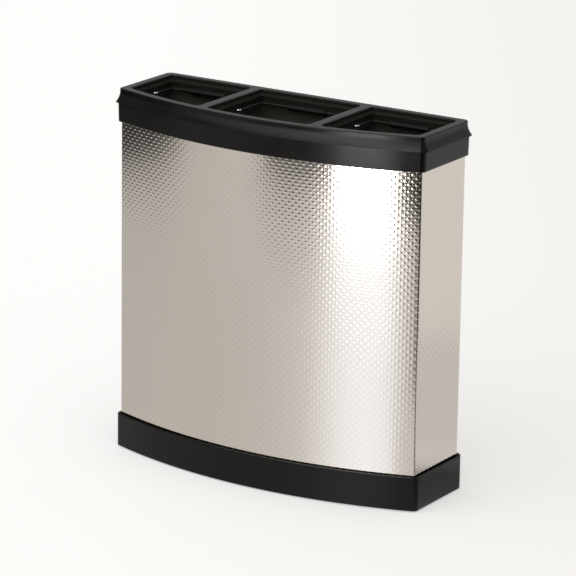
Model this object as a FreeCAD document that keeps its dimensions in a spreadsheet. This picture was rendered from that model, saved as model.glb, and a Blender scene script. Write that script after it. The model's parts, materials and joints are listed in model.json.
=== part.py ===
import FreeCAD, Part
import Sketcher
import math
import os

# Three-compartment litter bin. Millimetres, +Z up, front towards -Y. The origin is on the ground under
# the middle of the bin. Every plan outline is a flat back, two straight sides and a bowed front, drawn
# at an offset from the base's own outline, so that walls, sheet and liners stay parallel.

SIZES = {
    # overall
    "width": 570,
    "sideDepth": 146,
    "frontBulge": 52,
    "frontCorner": 10,
    "backCorner": 14,
    "totalHeight": 600,
    "smallestCorner": 1.5,
    # base tray
    "baseTop": 57,
    "baseWall": 3,
    "baseFloor": 3.5,
    "baseLipRound": 1.3,
    "baseFootRound": 2.2,
    "channelFloor": 12,
    "channelBridge": 2.5,
    "guideTop": 45,
    "guideWall": 2.5,
    "ribHeight": 14,
    "ribWall": 3,
    "ribHalfLength": 55,
    "ribGap": 1,
    # rubber feet
    "footStand": 1.5,
    "footRadius": 12,
    "footRecess": 1.5,
    "footInset": 34,
    "footRound": 1,
    # sheet steel
    "jacketInset": 6,
    "sheet": 0.8,
    "channelGap": 2.2,
    "flangeWidth": 30,
    "panelOverlap": 20,
    "rivetEdge": 10,
    "rivetRadius": 1.6,
    "rivetHoleRadius": 1.65,
    "rivetHeadRadius": 4,
    "rivetHeadHeight": 1.2,
    "rivetBulbRadius": 2.6,
    "rivetBulbLength": 3,
    "rivetFirst": 80,
    "rivetPitch": 88,
    # tie rods and their nuts
    "tieRodInset": 12,
    "tieRodRadius": 2.5,
    "tieRodClearance": 0.25,
    "tieRodSpare": 2,
    "bossRadius": 6.5,
    "bossTop": 30,
    "nutHeight": 4,
    "nutCorner": 4.6,
    "nutRecessRadius": 5.5,
    "nutRecess": 6,
    # collar under the crown
    "skirtHeight": 32,
    "skirtInset": 1.1,
    "skirtDraft": 0.7,
    "skirtWall": 3.2,
    "skirtRound": 2.2,
    "collarPlate": 3,
    "collarGuideDrop": 24,
    "collarBossDrop": 14,
    "collarWeb": 3,
    "collarWebDrop": 18,
    # crown
    "crownHeight": 23,
    "crownTopInset": 3.4,
    "crownWall": 2.5,
    "crownPlate": 3,
    "crownRound": 1.6,
    "dripOverhang": 3.2,
    "dripLand": 1.2,
    "flareDrop": 4,
    "rimWidth": 15,
    "dividerWidth": 18.5,
    "dividerPlace": 103,
    "apertureCorner": 8,
    "apertureRound": 2.2,
    "spigotWall": 2.5,
    "spigotDrop": 15,
    "spigotClearance": 0.5,
    # liner buckets
    "bucketClearance": 1.5,
    "bucketDrop": 9,
    "bucketBand": 20,
    "bucketStep": 2,
    "bucketWall": 2,
    "bucketFloor": 2.5,
    "bucketDraft": 8,
    "bucketRimRound": 0.8,
    # wire bails and grips
    "wireRadius": 2,
    "pivotClearance": 0.05,
    "pivotDrop": 10,
    "pinSetback": 0.3,
    "pinBend": 3.5,
    "bailBend": 7,
    "bailSideGap": 1.5,
    "sidePivotBack": 52,
    "middlePivotBack": 72,
    "bailBackGap": 6,
    "ledgeReach": 6,
    "ledgeHeight": 2.5,
    "ledgeGap": 0.1,
    "gripLength": 72,
    "gripRadius": 4.5,
    "gripRound": 1.2,
}

doc = FreeCAD.newDocument("litter_bin")
sheet = doc.addObject("Spreadsheet::Sheet", "Sizes")
for row, (name, size) in enumerate(SIZES.items(), start=1):
    sheet.set(f"A{row}", name)
    sheet.set(f"B{row}", str(size))
    sheet.setAlias(f"B{row}", name)
doc.recompute()

# Sizes worked out from the driving ones, as expressions that the features are bound to.
halfWidth = "(Sizes.width / 2)"
backFace = "((Sizes.sideDepth + Sizes.frontBulge) / 2)"
frontRadius = "((Sizes.width ^ 2 / 4 + Sizes.frontBulge ^ 2) / (2 * Sizes.frontBulge))"
arcCentre = f"({frontRadius} - {backFace})"
crownFoot = "(Sizes.totalHeight - Sizes.crownHeight)"
plateFoot = f"({crownFoot} - Sizes.collarPlate)"
skirtFoot = f"({crownFoot} - Sizes.skirtHeight)"
floorTop = "(Sizes.footStand + Sizes.baseFloor)"
sheetInside = "(Sizes.jacketInset + Sizes.sheet)"
guideFace = f"({sheetInside} + Sizes.channelGap)"
guideBack = f"({guideFace} + Sizes.guideWall)"
rodHole = "(Sizes.tieRodRadius + Sizes.tieRodClearance)"
openingInset = "(Sizes.crownTopInset + Sizes.rimWidth)"
bucketTop = "(Sizes.totalHeight - Sizes.bucketDrop)"
wallInset = "(Sizes.bucketClearance + Sizes.bucketStep)"
hollowInset = f"({wallInset} + Sizes.bucketWall)"
pivotHeight = f"({bucketTop} - Sizes.pivotDrop)"
armInset = f"({hollowInset} + Sizes.bailSideGap + Sizes.wireRadius)"
hollowBack = f"({backFace} - {openingInset} - {hollowInset})"
windowHalf = f"({halfWidth} - Sizes.jacketInset - Sizes.flangeWidth)"
rivetColumn = f"({windowHalf} + Sizes.rivetEdge)"
rivetRows = 6
nearEnough = 0.001              # lengths that differ by less than this count as the same

# The three compartments, from -X to +X: where each side of the opening lies, and how far the
# liner's pivot stands in front of its inner back wall.
nearFace = "(Sizes.dividerPlace - Sizes.dividerWidth / 2)"
farFace = "(Sizes.dividerPlace + Sizes.dividerWidth / 2)"
outerFace = f"({halfWidth} - {openingInset})"
COMPARTMENTS = {
    "left": (f"-{outerFace}", f"-{farFace}", "Sizes.sidePivotBack"),
    "middle": (f"-{nearFace}", nearFace, "Sizes.middlePivotBack"),
    "right": (farFace, outerFace, "Sizes.sidePivotBack"),
}


def value(expression):
    """The number that an expression has with the sheet's present sizes."""
    return float(sheet.evalExpression(expression))


# ---- sketch helpers ----

def sketch_on(body, name, role, level="0"):
    """A sketch on one of the body's own origin planes, lifted along the plane's normal."""
    sketch = body.newObject("Sketcher::SketchObject", name)
    support = [plane for plane in body.Origin.OriginFeatures if plane.Role == role][0]
    sketch.AttachmentSupport = [(support, "")]
    sketch.MapMode = "FlatFace"
    sketch.setExpression("AttachmentOffset.Base.z", level)
    return sketch


def bind(sketch, kind, targets, expression):
    """Adds one dimension and ties it to its expression."""
    index = sketch.addConstraint(Sketcher.Constraint(kind, *targets, value(expression)))
    sketch.setExpression(f"Constraints[{index}]", expression)


def arc(x, y, radius, start, end):
    circle = Part.Circle(FreeCAD.Vector(x, y, 0), FreeCAD.Vector(0, 0, 1), radius)
    return Part.ArcOfCircle(circle, start, end)


def line(start, end):
    return Part.LineSegment(FreeCAD.Vector(*start, 0), FreeCAD.Vector(*end, 0))


def front_corner(x, side, radius, bow):
    """Centre and angle of the corner arc that touches a side line and, from inside, the bowed front."""
    centre_y = value(arcCentre)
    corner_x = x - side * radius
    corner_y = centre_y - math.sqrt((bow - radius) ** 2 - corner_x ** 2)
    angle = math.atan2(corner_y - centre_y, corner_x) + 2 * math.pi
    return corner_x, corner_y, angle


def draw_outline(sketch, left, right, back, bow, back_left, front_left, front_right, back_right):
    """Closed outline: flat back, straight sides, bowed front, and four corner arcs."""
    xl, xr, yb, rb = [value(text) for text in (left, right, back, bow)]
    r1, r2, r3, r4 = [value(text) for text in (back_left, front_left, front_right, back_right)]
    lx, ly, la = front_corner(xl, -1, r2, rb)
    rx, ry, ra = front_corner(xr, 1, r3, rb)
    first = sketch.GeometryCount
    sketch.addGeometry([
        line((xr - r4, yb), (xl + r1, yb)),
        arc(xl + r1, yb - r1, r1, math.pi / 2, math.pi),
        line((xl, yb - r1), (xl, ly)),
        arc(lx, ly, r2, math.pi, la),
        arc(0, value(arcCentre), rb, la, ra),
        arc(rx, ry, r3, ra, 2 * math.pi),
        line((xr, ry), (xr, yb - r4)),
        arc(xr - r4, yb - r4, r4, 0, math.pi / 2),
    ], False)
    for step in range(8):
        joint = Sketcher.Constraint("Tangent", first + step, 2, first + (step + 1) % 8, 1)
        sketch.addConstraint(joint)
    sketch.addConstraint(Sketcher.Constraint("Horizontal", first))
    sketch.addConstraint(Sketcher.Constraint("Vertical", first + 2))
    sketch.addConstraint(Sketcher.Constraint("Vertical", first + 6))
    sketch.addConstraint(Sketcher.Constraint("PointOnObject", first + 4, 3, -2))
    bind(sketch, "DistanceY", (-1, 1, first, 1), back)
    bind(sketch, "DistanceX", (-1, 1, first + 2, 1), left)
    bind(sketch, "DistanceX", (-1, 1, first + 6, 1), right)
    bind(sketch, "DistanceY", (-1, 1, first + 4, 3), arcCentre)
    bind(sketch, "Radius", (first + 4,), bow)
    for step, radius in ((1, back_left), (3, front_left), (5, front_right), (7, back_right)):
        bind(sketch, "Radius", (first + step,), radius)


def draw_body_outline(sketch, inset):
    """The base's outline moved inwards by the inset, with its corner radii reduced to match."""
    front = f"max(Sizes.frontCorner - {inset}; Sizes.smallestCorner)"
    back = f"max(Sizes.backCorner - {inset}; Sizes.smallestCorner)"
    draw_outline(sketch, f"-({halfWidth} - {inset})", f"{halfWidth} - {inset}", f"{backFace} - {inset}",
                 f"{frontRadius} - {inset}", back, front, front, back)


def draw_opening(sketch, side, inset, corner):
    """One compartment's opening moved inwards by the inset."""
    left, right, _ = COMPARTMENTS[side]
    draw_outline(sketch, f"{left} + {inset}", f"{right} - {inset}",
                 f"{backFace} - {openingInset} - {inset}", f"{frontRadius} - {openingInset} - {inset}",
                 corner, corner, corner, corner)


def draw_circles(sketch, centres, radius):
    for x, y in centres:
        centre = FreeCAD.Vector(value(x), value(y), 0)
        index = sketch.addGeometry(Part.Circle(centre, FreeCAD.Vector(0, 0, 1), value(radius)), False)
        bind(sketch, "DistanceX", (-1, 1, index, 3), x)
        bind(sketch, "DistanceY", (-1, 1, index, 3), y)
        bind(sketch, "Radius", (index,), radius)


def draw_polygon(sketch, corners):
    """Closed straight-sided outline through corners whose places are expressions."""
    places = [(value(x), value(y)) for x, y in corners]
    count = len(places)
    first = sketch.GeometryCount
    sketch.addGeometry([line(places[step], places[(step + 1) % count]) for step in range(count)], False)
    for step, (x, y) in enumerate(corners):
        following = first + (step + 1) % count
        sketch.addConstraint(Sketcher.Constraint("Coincident", first + step, 2, following, 1))
        bind(sketch, "DistanceX", (-1, 1, first + step, 1), x)
        bind(sketch, "DistanceY", (-1, 1, first + step, 1), y)


def draw_rectangle(sketch, x0, x1, y0, y1):
    draw_polygon(sketch, [(x0, y0), (x1, y0), (x1, y1), (x0, y1)])


# ---- feature helpers ----

def new_body(name):
    body = doc.addObject("PartDesign::Body", name)
    body.Label = name
    return body


def extrude(body, kind, name, sketch, length, along):
    """A Pad or Pocket along the sketch plane's normal or, with along False, against it."""
    feature = body.newObject(f"PartDesign::{kind}", name)
    feature.Profile = sketch
    feature.setExpression("Length", length)
    feature.Reversed = along if kind == "Pocket" else not along
    doc.recompute()
    return feature


def pad(body, name, sketch, length, along=True):
    return extrude(body, "Pad", name, sketch, length, along)


def pocket(body, name, sketch, length, along=False):
    before = body.Shape.Volume
    feature = extrude(body, "Pocket", name, sketch, length, along)
    if body.Shape.Volume > before - nearEnough:
        raise RuntimeError(f"{name} cuts nothing from {body.Label}")
    return feature


def round_edges(body, name, radius, wanted):
    """Fillets the edges of the body's present shape that pass the test."""
    base = body.Tip
    names = [f"Edge{index}" for index, edge in enumerate(base.Shape.Edges, start=1) if wanted(edge)]
    fillet = body.newObject("PartDesign::Fillet", name)
    fillet.Base = (base, names)
    fillet.setExpression("Radius", radius)
    doc.recompute()
    return fillet


def lies_at(edge, level):
    """True when the whole edge lies in the horizontal plane at this height."""
    box = edge.BoundBox
    return abs(box.ZMin - level) < nearEnough and abs(box.ZMax - level) < nearEnough


def on_body_outline(edge, inset):
    """True when the edge's middle lies on the base's outline moved inwards by the inset."""
    middle = edge.valueAt((edge.FirstParameter + edge.LastParameter) / 2)
    to_side = value(halfWidth) - abs(middle.x)
    to_back = value(backFace) - middle.y
    to_front = value(frontRadius) - math.hypot(middle.x, value(arcCentre) - middle.y)
    reach = min(to_side, to_back, to_front)
    return min(reach, corner_reach(middle)) < value(inset) + nearEnough


def corner_reach(point):
    """How far inside the base's outline a point near a rounded corner lies."""
    reaches = []
    for x, y, radius in corner_arcs():
        if abs(point.x) > x and (point.y > y) == (y > 0):
            reaches.append(radius - math.hypot(abs(point.x) - x, point.y - y))
    return min(reaches, default=math.inf)


def corner_arcs():
    """Centre and radius of the base outline's back and front corner arcs on the +X side."""
    back = value("Sizes.backCorner")
    front = value("Sizes.frontCorner")
    half = value(halfWidth)
    x, y, _ = front_corner(half, 1, front, value(frontRadius))
    return [(half - back, value(backFace) - back, back), (x, y, front)]


def front_at(x, inset):
    """Y of the bowed front, moved inwards by the inset, at one distance from the middle."""
    return f"({arcCentre} - sqrt(({frontRadius} - {inset}) ^ 2 - {x} ^ 2))"


def corner_places(inset):
    """Four corner places: this far inside the sides, and inside the back or the bowed front."""
    x = f"({halfWidth} - {inset})"
    back = f"({backFace} - {inset})"
    front = front_at(x, inset)
    return {
        "front_left": (f"-{x}", front),
        "front_right": (x, front),
        "rear_left": (f"-{x}", back),
        "rear_right": (x, back),
    }


ROD_PLACES = corner_places("Sizes.tieRodInset")
FOOT_PLACES = corner_places("Sizes.footInset")
RIVET_PLACES = [(f"{sign}{rivetColumn}", f"(Sizes.rivetFirst + {row} * Sizes.rivetPitch)")
                for sign in ("-", "") for row in range(rivetRows)]


# ---- the pieces ----

def base_tray():
    """Moulded tray: outer wall, channel for the sheet, guide wall, floor, bosses and locating ribs."""
    body = new_body("base_tray")
    block = sketch_on(body, "tray_plan", "XY_Plane", "Sizes.footStand")
    draw_body_outline(block, "0")
    pad(body, "tray_block", block, "Sizes.baseTop - Sizes.footStand")

    mouth = sketch_on(body, "mouth_plan", "XY_Plane", "Sizes.baseTop")
    draw_body_outline(mouth, "Sizes.baseWall")
    pocket(body, "mouth", mouth, "Sizes.baseTop - Sizes.guideTop")

    well = sketch_on(body, "well_plan", "XY_Plane", "Sizes.guideTop")
    draw_body_outline(well, guideBack)
    pocket(body, "well", well, f"Sizes.guideTop - {floorTop}")

    bosses = sketch_on(body, "boss_plan", "XY_Plane", "Sizes.footStand")
    draw_circles(bosses, ROD_PLACES.values(), "Sizes.bossRadius")
    pad(body, "bosses", bosses, "Sizes.bossTop - Sizes.footStand")

    channel = sketch_on(body, "channel_plan", "XY_Plane", "Sizes.guideTop")
    draw_body_outline(channel, "Sizes.baseWall")
    draw_body_outline(channel, guideFace)
    pocket(body, "channel", channel, "Sizes.guideTop - Sizes.channelFloor")

    groove = sketch_on(body, "groove_plan", "XY_Plane", "Sizes.footStand")
    draw_body_outline(groove, "Sizes.baseWall")
    draw_body_outline(groove, guideFace)
    pocket(body, "underside_groove", groove,
           "Sizes.channelFloor - Sizes.channelBridge - Sizes.footStand", along=True)

    ribs = sketch_on(body, "rib_plan", "XY_Plane", floorTop)
    to_bucket = f"({wallInset} + Sizes.bucketDraft - Sizes.ribGap)"
    for side in ("-", ""):
        for inner in (f"{farFace} + {to_bucket} - Sizes.ribWall", f"{nearFace} - {to_bucket}"):
            draw_rectangle(ribs, f"{side}({inner})", f"{side}({inner} + Sizes.ribWall)",
                           "-Sizes.ribHalfLength", "Sizes.ribHalfLength")
    pad(body, "locating_ribs", ribs, "Sizes.ribHeight")

    rod_holes = sketch_on(body, "rod_hole_plan", "XY_Plane", "Sizes.guideTop")
    draw_circles(rod_holes, ROD_PLACES.values(), rodHole)
    pocket(body, "rod_holes", rod_holes, "Sizes.guideTop - Sizes.footStand")

    recesses = sketch_on(body, "nut_recess_plan", "XY_Plane", "Sizes.footStand")
    draw_circles(recesses, ROD_PLACES.values(), "Sizes.nutRecessRadius")
    pocket(body, "nut_recesses", recesses, "Sizes.nutRecess", along=True)

    seats = sketch_on(body, "foot_seat_plan", "XY_Plane", "Sizes.footStand")
    draw_circles(seats, FOOT_PLACES.values(), "Sizes.footRadius")
    pocket(body, "foot_seats", seats, "Sizes.footRecess", along=True)

    lip = value("Sizes.baseTop")
    round_edges(body, "lip_round", "Sizes.baseLipRound", lambda edge: lies_at(edge, lip))
    foot = value("Sizes.footStand")
    round_edges(body, "foot_round", "Sizes.baseFootRound",
                lambda edge: lies_at(edge, foot) and on_body_outline(edge, "0"))
    return body


def rubber_foot(corner):
    """Round pad pressed into its seat under one corner of the tray."""
    body = new_body(f"foot_{corner}")
    disc = sketch_on(body, f"foot_plan_{corner}", "XY_Plane")
    draw_circles(disc, [("0", "0")], "Sizes.footRadius")
    pad(body, f"foot_disc_{corner}", disc, "Sizes.footStand + Sizes.footRecess")
    round_edges(body, f"foot_edge_{corner}", "Sizes.footRound", lambda edge: lies_at(edge, 0))
    x, y = FOOT_PLACES[corner]
    body.setExpression("Placement.Base.x", x)
    body.setExpression("Placement.Base.y", y)
    return body


def steel_jacket():
    """Embossed sheet wrapped round the front and sides, with a flange turned in along each back edge."""
    body = new_body("steel_jacket")
    plan = sketch_on(body, "jacket_plan", "XY_Plane", "Sizes.channelFloor")
    draw_body_outline(plan, "Sizes.jacketInset")
    draw_body_outline(plan, sheetInside)
    pad(body, "jacket_wrap", plan, f"{plateFoot} - Sizes.channelFloor")

    window = sketch_on(body, "window_view", "XZ_Plane", f"-{backFace}")
    draw_rectangle(window, f"-{windowHalf}", windowHalf, "0", "Sizes.totalHeight")
    pocket(body, "back_window", window, f"{sheetInside} + Sizes.sheet", along=True)

    holes = sketch_on(body, "jacket_rivet_view", "XZ_Plane", f"-{backFace}")
    draw_circles(holes, RIVET_PLACES, "Sizes.rivetHoleRadius")
    pocket(body, "jacket_rivet_holes", holes, f"{sheetInside} + Sizes.sheet", along=True)
    return body


def rear_panel():
    """Flat sheet that closes the back from inside the jacket's flanges."""
    body = new_body("rear_panel")
    plan = sketch_on(body, "panel_plan", "XY_Plane", "Sizes.channelFloor")
    reach = f"({windowHalf} + Sizes.panelOverlap)"
    draw_rectangle(plan, f"-{reach}", reach, f"{backFace} - {sheetInside} - Sizes.sheet",
                   f"{backFace} - {sheetInside}")
    pad(body, "panel_sheet", plan, f"{plateFoot} - Sizes.channelFloor")

    holes = sketch_on(body, "panel_rivet_view", "XZ_Plane", f"-{backFace}")
    draw_circles(holes, RIVET_PLACES, "Sizes.rivetHoleRadius")
    pocket(body, "panel_rivet_holes", holes, f"{sheetInside} + 2 * Sizes.sheet", along=True)
    return body


def rear_rivets():
    """Blind rivets, head outside and bulb inside, in a column along each flange."""
    body = new_body("rear_rivets")
    outside = f"({backFace} - Sizes.jacketInset)"
    lengths = [
        ("rivet_heads", "Sizes.rivetHeadRadius", outside, "Sizes.rivetHeadHeight", False),
        ("rivet_shanks", "Sizes.rivetRadius", outside, "2 * Sizes.sheet", True),
        ("rivet_bulbs", "Sizes.rivetBulbRadius", f"({outside} - 2 * Sizes.sheet)",
         "Sizes.rivetBulbLength", True),
    ]
    for name, radius, level, length, inwards in lengths:
        sketch = sketch_on(body, f"{name}_view", "XZ_Plane", f"-{level}")
        draw_circles(sketch, RIVET_PLACES, radius)
        pad(body, name, sketch, length, along=inwards)
    return body


def tie_rod(corner):
    """Rod that draws the collar down on the sheet and the tray."""
    rod = doc.addObject("Part::Cylinder", f"tie_rod_{corner}")
    rod.Label = f"tie_rod_{corner}"
    rod_foot = "(Sizes.footStand + Sizes.nutRecess - Sizes.nutHeight)"
    rod.setExpression("Radius", "Sizes.tieRodRadius")
    rod.setExpression("Height", f"{crownFoot} + Sizes.nutHeight + Sizes.tieRodSpare - {rod_foot}")
    x, y = ROD_PLACES[corner]
    rod.setExpression("Placement.Base.x", x)
    rod.setExpression("Placement.Base.y", y)
    rod.setExpression("Placement.Base.z", rod_foot)
    return rod


def nuts(name, level):
    """The four nuts at one end of the tie rods."""
    pieces = []
    for corner, (x, y) in ROD_PLACES.items():
        block = doc.addObject("Part::Prism", f"{name}_block_{corner}")
        block.Polygon = 6
        block.setExpression("Circumradius", "Sizes.nutCorner")
        bore = doc.addObject("Part::Cylinder", f"{name}_bore_{corner}")
        bore.setExpression("Radius", "Sizes.tieRodRadius")
        for solid in (block, bore):
            solid.setExpression("Height", "Sizes.nutHeight")
            solid.setExpression("Placement.Base.x", x)
            solid.setExpression("Placement.Base.y", y)
            solid.setExpression("Placement.Base.z", level)
        nut = doc.addObject("Part::Cut", f"{name}_{corner}")
        nut.Base = block
        nut.Tool = bore
        pieces.append(nut)
    group = doc.addObject("Part::Compound", name)
    group.Label = name
    group.Links = pieces
    return group


def collar_ring():
    """Fixed collar: drafted skirt over the sheet, top plate, guide wall, bosses and cross webs."""
    body = new_body("collar_ring")
    path = sketch_on(body, "skirt_path", "XY_Plane", skirtFoot)
    draw_body_outline(path, "0")
    profile = sketch_on(body, "skirt_profile", "YZ_Plane")
    top_outer = f"{backFace} - Sizes.skirtInset + Sizes.skirtDraft"
    foot_outer = f"{backFace} - Sizes.skirtInset"
    draw_polygon(profile, [
        (foot_outer, skirtFoot),
        (top_outer, crownFoot),
        (f"{top_outer} - Sizes.skirtWall", crownFoot),
        (f"{foot_outer} - Sizes.skirtWall", skirtFoot),
    ])
    skirt = body.newObject("PartDesign::AdditivePipe", "skirt")
    skirt.Profile = profile
    skirt.Spine = (path, [""])
    doc.recompute()
    foot = value(skirtFoot)
    round_edges(body, "skirt_round", "Sizes.skirtRound",
                lambda edge: lies_at(edge, foot) and on_body_outline(edge, "Sizes.skirtInset"))

    plate = sketch_on(body, "plate_plan", "XY_Plane", plateFoot)
    draw_body_outline(plate, "(Sizes.skirtInset + Sizes.skirtWall / 2)")
    pad(body, "plate", plate, "Sizes.collarPlate")

    guide = sketch_on(body, "collar_guide_plan", "XY_Plane", plateFoot)
    draw_body_outline(guide, guideFace)
    draw_body_outline(guide, guideBack)
    pad(body, "collar_guide", guide, "Sizes.collarGuideDrop", along=False)

    bosses = sketch_on(body, "collar_boss_plan", "XY_Plane", plateFoot)
    draw_circles(bosses, ROD_PLACES.values(), "Sizes.bossRadius")
    pad(body, "collar_bosses", bosses, "Sizes.collarBossDrop", along=False)

    trim = sketch_on(body, "trim_plan", "XY_Plane", plateFoot)
    draw_body_outline(trim, "(Sizes.jacketInset - Sizes.sheet)")
    draw_body_outline(trim, guideFace)
    pocket(body, "sheet_channel", trim, "Sizes.collarBossDrop")

    webs = sketch_on(body, "web_plan", "XY_Plane", plateFoot)
    guide_middle = f"({guideFace} + Sizes.guideWall / 2)"
    for side in ("-", ""):
        draw_rectangle(webs, f"{side}Sizes.dividerPlace - Sizes.collarWeb / 2",
                       f"{side}Sizes.dividerPlace + Sizes.collarWeb / 2",
                       front_at("Sizes.dividerPlace", guide_middle), f"{backFace} - {guide_middle}")
    pad(body, "cross_webs", webs, "Sizes.collarWebDrop", along=False)

    openings = sketch_on(body, "collar_opening_plan", "XY_Plane", crownFoot)
    margin = "(Sizes.spigotWall + Sizes.spigotClearance)"
    for side in COMPARTMENTS:
        draw_opening(openings, side, f"(-{margin})", f"Sizes.apertureCorner + {margin}")
    pocket(body, "collar_openings", openings, "Sizes.skirtHeight")

    holes = sketch_on(body, "collar_rod_plan", "XY_Plane", crownFoot)
    draw_circles(holes, ROD_PLACES.values(), rodHole)
    pocket(body, "collar_rod_holes", holes, "Sizes.skirtHeight")
    return body


def draw_flare(sketch):
    """What is cut away outside the crown's hollow flare: a short land, one arc and a straight top."""
    drip = f"({backFace} + Sizes.dripOverhang)"
    land = f"({crownFoot} + Sizes.dripLand)"
    flare_top = "(Sizes.totalHeight - Sizes.flareDrop)"
    face = f"({backFace} - Sizes.crownTopInset)"
    across = f"({drip} - {face})"
    rise = f"({flare_top} - {land})"
    radius = f"(({rise} ^ 2 + {across} ^ 2) / (2 * {across}))"
    outside = f"({drip} + Sizes.dripOverhang)"
    above = "(Sizes.totalHeight + Sizes.dripOverhang)"
    corners = [(value(x), value(y)) for x, y in
               ((drip, land), (outside, land), (outside, above), (face, above), (face, flare_top))]
    sweep = math.asin(value(rise) / value(radius))
    sketch.addGeometry([line(corners[step], corners[step + 1]) for step in range(4)], False)
    sketch.addGeometry(arc(value(face) + value(radius), value(flare_top), value(radius),
                           math.pi, math.pi + sweep), False)
    for step in range(3):
        sketch.addConstraint(Sketcher.Constraint("Coincident", step, 2, step + 1, 1))
    sketch.addConstraint(Sketcher.Constraint("Tangent", 3, 2, 4, 1))
    sketch.addConstraint(Sketcher.Constraint("Coincident", 4, 2, 0, 1))
    for geometry in (0, 2):
        sketch.addConstraint(Sketcher.Constraint("Horizontal", geometry))
    for geometry in (1, 3):
        sketch.addConstraint(Sketcher.Constraint("Vertical", geometry))
    bind(sketch, "DistanceX", (-1, 1, 0, 1), drip)
    bind(sketch, "DistanceY", (-1, 1, 0, 1), land)
    bind(sketch, "DistanceX", (-1, 1, 0, 2), outside)
    bind(sketch, "DistanceY", (-1, 1, 2, 1), above)
    bind(sketch, "DistanceX", (-1, 1, 3, 2), face)
    bind(sketch, "DistanceY", (-1, 1, 3, 2), flare_top)


def crown_frame():
    """Lift-off top moulding: flared edge, flat rim, two dividers and a spigot round each opening."""
    body = new_body("crown_frame")
    plan = sketch_on(body, "crown_plan", "XY_Plane", crownFoot)
    draw_body_outline(plan, "(-Sizes.dripOverhang)")
    pad(body, "crown_block", plan, "Sizes.crownHeight")

    path = sketch_on(body, "flare_path", "XY_Plane", crownFoot)
    draw_body_outline(path, "0")
    profile = sketch_on(body, "flare_profile", "YZ_Plane")
    draw_flare(profile)
    flare = body.newObject("PartDesign::SubtractivePipe", "flare")
    flare.Profile = profile
    flare.Spine = (path, [""])
    doc.recompute()

    hollow = sketch_on(body, "crown_hollow_plan", "XY_Plane", crownFoot)
    draw_body_outline(hollow, "(Sizes.crownTopInset + Sizes.crownWall)")
    spigots = sketch_on(body, "spigot_plan", "XY_Plane", crownFoot)
    for side in COMPARTMENTS:
        for sketch in (hollow, spigots):
            draw_opening(sketch, side, "(-Sizes.spigotWall)", "Sizes.apertureCorner + Sizes.spigotWall")
    pocket(body, "crown_hollow", hollow, "Sizes.crownHeight - Sizes.crownPlate", along=True)
    pad(body, "spigots", spigots, "Sizes.spigotDrop", along=False)

    apertures = sketch_on(body, "aperture_plan", "XY_Plane", "Sizes.totalHeight")
    for side in COMPARTMENTS:
        draw_opening(apertures, side, "0", "Sizes.apertureCorner")
    pocket(body, "apertures", apertures, "Sizes.crownHeight + Sizes.spigotDrop")

    top = value("Sizes.totalHeight")
    round_edges(body, "rim_round", "Sizes.crownRound",
                lambda edge: lies_at(edge, top) and on_body_outline(edge, "Sizes.crownTopInset"))
    round_edges(body, "aperture_round", "Sizes.apertureRound",
                lambda edge: lies_at(edge, top) and not on_body_outline(
                    edge, "(Sizes.crownTopInset + Sizes.crownRound)"))
    return body


def pivot_place(side):
    return f"({hollowBack} - {COMPARTMENTS[side][2]})"


def bail_reach(side):
    """Pivot to the cross wire, so that the grip stops just short of the liner's back wall."""
    return f"({COMPARTMENTS[side][2]} - Sizes.bailBackGap)"


def loft(body, kind, name, side, lower, upper, corner):
    """Lofts one compartment's outline between two levels, each with its own inset."""
    sketches = []
    for end, (level, inset) in (("foot", lower), ("top", upper)):
        sketch = sketch_on(body, f"{name}_{end}", "XY_Plane", level)
        draw_opening(sketch, side, inset, corner)
        sketches.append(sketch)
    feature = body.newObject(f"PartDesign::{kind}", name)
    feature.Profile = sketches[0]
    feature.Sections = [sketches[1]]
    feature.Ruled = True
    doc.recompute()
    return feature


def liner_bucket(side):
    """Tapered liner with a thick rim band, pivot holes and a ledge for the bail's arms."""
    body = new_body(f"bucket_{side}")
    left, right, _ = COMPARTMENTS[side]
    band_foot = f"({bucketTop} - Sizes.bucketBand)"
    loft(body, "AdditiveLoft", f"{side}_wall", side, (floorTop, f"({wallInset} + Sizes.bucketDraft)"),
         (band_foot, wallInset), "Sizes.apertureCorner")

    band = sketch_on(body, f"{side}_band_plan", "XY_Plane", band_foot)
    draw_opening(band, side, "Sizes.bucketClearance", "Sizes.apertureCorner - Sizes.bucketClearance")
    pad(body, f"{side}_band", band, "Sizes.bucketBand")

    inner_corner = "Sizes.apertureCorner - Sizes.bucketWall"
    loft(body, "SubtractiveLoft", f"{side}_hollow", side,
         (f"({floorTop} + Sizes.bucketFloor)", f"({hollowInset} + Sizes.bucketDraft)"),
         (band_foot, hollowInset), inner_corner)
    mouth = sketch_on(body, f"{side}_mouth_plan", "XY_Plane", bucketTop)
    draw_opening(mouth, side, hollowInset, inner_corner)
    pocket(body, f"{side}_mouth", mouth, "Sizes.bucketBand")

    ledges = sketch_on(body, f"{side}_ledge_plan", "XY_Plane",
                       f"{pivotHeight} - Sizes.wireRadius - Sizes.ledgeGap")
    half = f"({bail_reach(side)} - Sizes.bailBend)"
    root = f"({hollowInset} - Sizes.bucketWall / 2)"
    tip = f"({hollowInset} + Sizes.ledgeReach)"
    for near, far in ((f"{left} + {root}", f"{left} + {tip}"), (f"{right} - {tip}", f"{right} - {root}")):
        draw_rectangle(ledges, near, far, f"{pivot_place(side)} - {half}", f"{pivot_place(side)} + {half}")
    pad(body, f"{side}_ledges", ledges, "Sizes.ledgeHeight", along=False)

    holes = sketch_on(body, f"{side}_pivot_view", "YZ_Plane", left)
    draw_circles(holes, [(pivot_place(side), pivotHeight)], "Sizes.wireRadius + Sizes.pivotClearance")
    pocket(body, f"{side}_pivot_holes", holes, f"{right} - {left}", along=True)

    top = value(bucketTop)
    round_edges(body, f"{side}_rim_round", "Sizes.bucketRimRound", lambda edge: lies_at(edge, top))
    return body


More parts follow.
